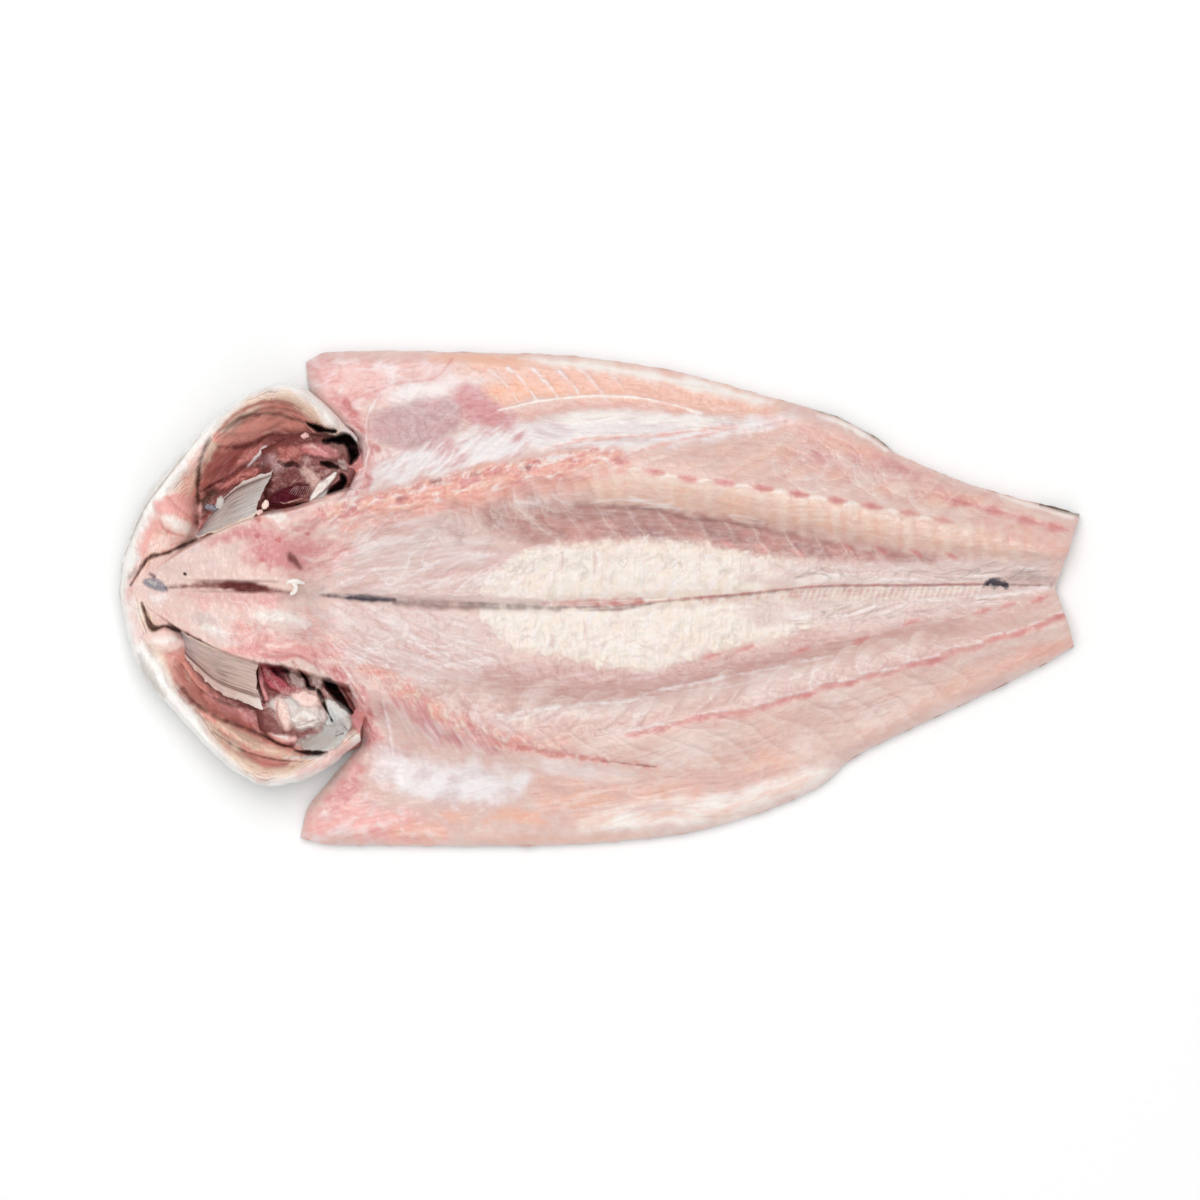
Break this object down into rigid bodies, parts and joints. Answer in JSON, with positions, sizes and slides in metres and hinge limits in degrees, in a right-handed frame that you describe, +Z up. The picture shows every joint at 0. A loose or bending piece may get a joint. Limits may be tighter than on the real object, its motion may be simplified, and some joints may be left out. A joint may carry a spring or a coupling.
{
  "type": "butterflied meagre",
  "caption": "Raw butterflied meagre laid open flat on its skin, flesh side up, boned along the middle, with the split head on and the tail fin cut off.",
  "frame": {"origin": "on the table, under the middle of the fish", "axes": "+X from the snout to the cut tail, +Z up out of the flesh side, +Y to the half that is uppermost in the picture"},
  "size_m": [0.4219, 0.2176, 0.0365],
  "materials": {
    "flesh": "wet raw fish flesh, pale pink with white fat and red marks",
    "gill": "wet dark red gill with pale filaments",
    "skin": "wet silver grey scaled skin"
  },
  "bodies": {
    "root": {"fish": "flesh", "gills_far": "gill", "gills_near": "gill"}
  },
  "joints": []
}
